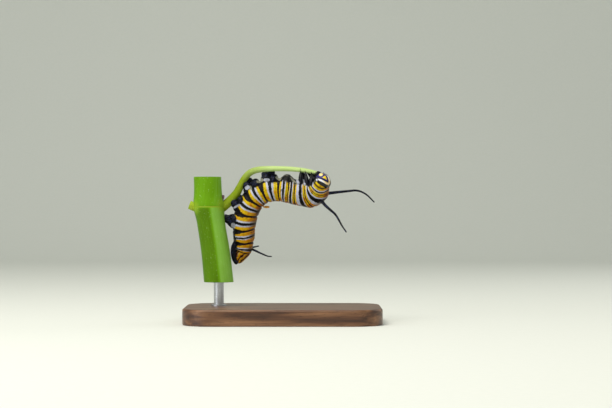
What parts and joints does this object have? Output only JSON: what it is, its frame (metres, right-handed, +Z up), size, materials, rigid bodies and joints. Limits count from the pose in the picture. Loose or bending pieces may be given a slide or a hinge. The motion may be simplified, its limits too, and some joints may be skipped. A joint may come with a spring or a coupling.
{
  "type": "monarch larva",
  "caption": "Life-size striped monarch larva, back down, gripping a cut milkweed stem and leaf stalk on a small display stand.",
  "frame": {"origin": "middle of the underside of the stand's base", "axes": "+Z up; +X from the stem towards the larva's head; the larva's left side faces -Y"},
  "size_m": [0.049, 0.03, 0.039],
  "materials": {
    "skin": "soft banded skin in yellow, white and black",
    "head": "glossy black horny capsule with yellow-white arches",
    "claw": "glossy black horny legs",
    "stem": "fresh green herbaceous stem",
    "stalk": "fresh yellow-green leaf stalk",
    "wood": "oiled walnut",
    "steel": "brushed"
  },
  "bodies": {
    "root": {"head_capsule": "head", "mouthparts": "head", "antenna_left": "head", "antenna_right": "head", "thorax_1": "skin", "thorax_2": "skin", "thorax_3": "skin", "abdomen_1": "skin", "abdomen_2": "skin", "abdomen_3": "skin", "abdomen_4": "skin", "abdomen_5": "skin", "abdomen_6": "skin", "abdomen_7": "skin", "abdomen_8": "skin", "abdomen_9": "skin", "abdomen_10": "skin", "leg_1_left": "claw", "leg_1_right": "claw", "leg_2_left": "claw", "leg_2_right": "claw", "leg_3_left": "claw", "leg_3_right": "claw", "proleg_3_left": "skin", "proleg_3_right": "skin", "proleg_4_left": "skin", "proleg_4_right": "skin", "proleg_5_left": "skin", "proleg_5_right": "skin", "proleg_6_left": "skin", "proleg_6_right": "skin", "proleg_10_left": "skin", "proleg_10_right": "skin", "filament_front_left": "skin", "filament_front_tip_left": "skin", "filament_front_right": "skin", "filament_front_tip_right": "skin", "filament_rear_left": "skin", "filament_rear_right": "skin", "perch_stem": "stem", "perch_stalk_root": "stalk", "perch_stalk_bend": "stalk", "perch_stalk_rib": "stalk", "stand_base": "wood", "stand_rod": "steel"}
  },
  "joints": []
}
